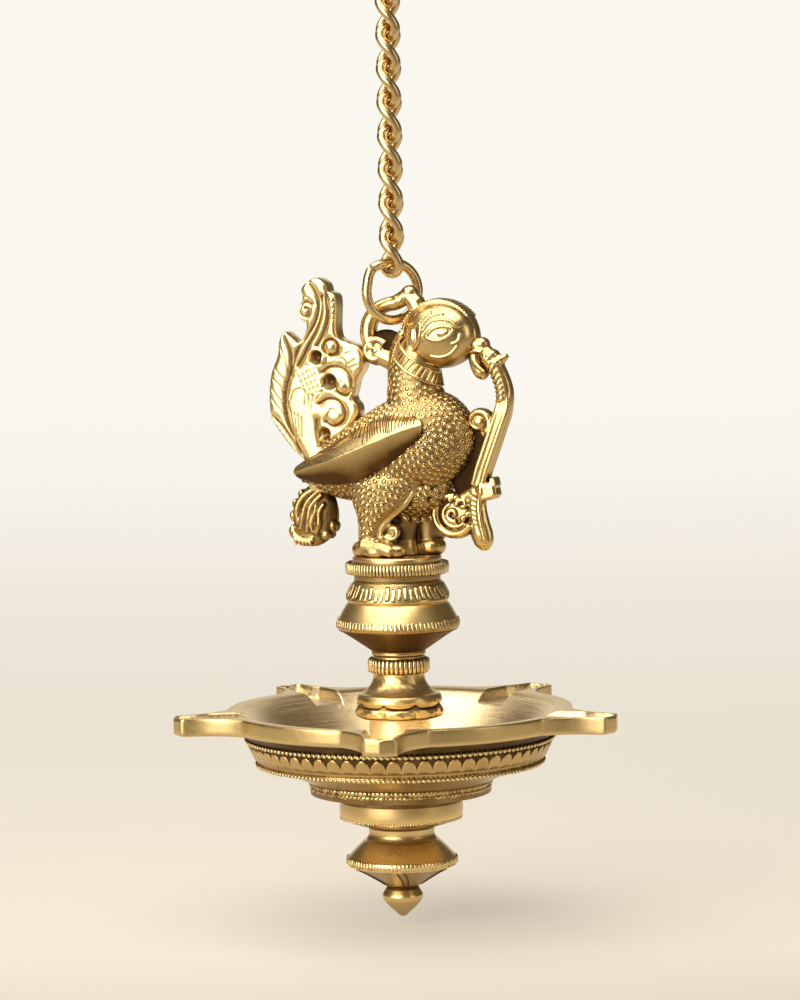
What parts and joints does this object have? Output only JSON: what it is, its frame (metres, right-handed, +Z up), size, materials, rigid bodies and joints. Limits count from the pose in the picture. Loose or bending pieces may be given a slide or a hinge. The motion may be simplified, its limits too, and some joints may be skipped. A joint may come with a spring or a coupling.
{
  "type": "hanging oil lamp",
  "caption": "Cast brass hanging oil lamp: a bird on a turned pedestal above a bowl with wick spouts and a drop finial, hung on a chain by a ring behind its head.",
  "frame": {"origin": "centre of the hanging eye's bore", "axes": "+Z up along the hanging chain, +X the way the bird faces, +Y to the bird's left"},
  "size_m": [0.1278, 0.1344, 0.3111],
  "materials": {
    "chain_brass": "drawn brass wire, lightly darkened between the links",
    "bird_brass": "cast and chased brass, brown in the cuts",
    "turned_brass": "turned brass, satin, brown in the grooves",
    "rod_brass": "plain rod"
  },
  "bodies": {
    "eye": {"hanging_eye": "chain_brass"},
    "link_1": {"chain_link_1": "chain_brass"},
    "link_2": {"chain_link_2": "chain_brass"},
    "link_3": {"chain_link_3": "chain_brass"},
    "link_4": {"chain_link_4": "chain_brass"},
    "link_5": {"chain_link_5": "chain_brass"},
    "link_6": {"chain_link_6": "chain_brass"},
    "link_7": {"chain_link_7": "chain_brass"},
    "link_8": {"chain_link_8": "chain_brass"},
    "link_9": {"chain_link_9": "chain_brass"},
    "ring": {"hanging_ring": "chain_brass"},
    "lamp": {"bird_body": "bird_brass", "crest_loop": "bird_brass", "right_wing": "bird_brass", "left_wing": "bird_brass", "tail_plume": "bird_brass", "beak_vine": "bird_brass", "plinth": "turned_brass", "skirt_collar": "turned_brass", "baluster": "turned_brass", "drop_finial": "turned_brass", "tie_rod": "rod_brass"},
    "bowl": {"bowl": "turned_brass"}
  },
  "joints": [
    {"name": "link_1_swing", "type": "hinge", "parent": "eye", "child": "link_1", "pos_m": [0, 0, -0.0175], "axis": [0.9135, -0.4067, 0], "range_deg": [-30, 30]},
    {"name": "link_2_swing", "type": "hinge", "parent": "link_1", "child": "link_2", "pos_m": [0, 0, -0.0242], "axis": [0.4067, 0.9135, 0], "range_deg": [-30, 30]},
    {"name": "link_3_swing", "type": "hinge", "parent": "link_2", "child": "link_3", "pos_m": [0, 0, -0.0375], "axis": [-0.9135, 0.4067, 0], "range_deg": [-30, 30]},
    {"name": "link_4_swing", "type": "hinge", "parent": "link_3", "child": "link_4", "pos_m": [0, 0, -0.0442], "axis": [-0.4067, -0.9135, 0], "range_deg": [-30, 30]},
    {"name": "link_5_swing", "type": "hinge", "parent": "link_4", "child": "link_5", "pos_m": [0, 0, -0.0575], "axis": [0.9135, -0.4067, 0], "range_deg": [-30, 30]},
    {"name": "link_6_swing", "type": "hinge", "parent": "link_5", "child": "link_6", "pos_m": [0, 0, -0.0642], "axis": [0.4067, 0.9135, 0], "range_deg": [-30, 30]},
    {"name": "link_7_swing", "type": "hinge", "parent": "link_6", "child": "link_7", "pos_m": [0, 0, -0.0775], "axis": [-0.9135, 0.4067, 0], "range_deg": [-30, 30]},
    {"name": "link_8_swing", "type": "hinge", "parent": "link_7", "child": "link_8", "pos_m": [0, 0, -0.0842], "axis": [-0.4067, -0.9135, 0], "range_deg": [-30, 30]},
    {"name": "link_9_swing", "type": "hinge", "parent": "link_8", "child": "link_9", "pos_m": [0, 0, -0.0975], "axis": [0.9135, -0.4067, 0], "range_deg": [-30, 30]},
    {"name": "ring_swing", "type": "hinge", "parent": "link_9", "child": "ring", "pos_m": [0, 0, -0.1042], "axis": [0.6428, 0.766, 0], "range_deg": [-25, 25]},
    {"name": "lamp_rock", "type": "hinge", "parent": "ring", "child": "lamp", "pos_m": [0, 0, -0.1128], "axis": [0.766, -0.6428, 0], "range_deg": [-20, 20]},
    {"name": "bowl_turn", "type": "hinge", "parent": "lamp", "child": "bowl", "pos_m": [0, 0, -0.2379], "axis": [0, 0, 1], "continuous": true}
  ]
}
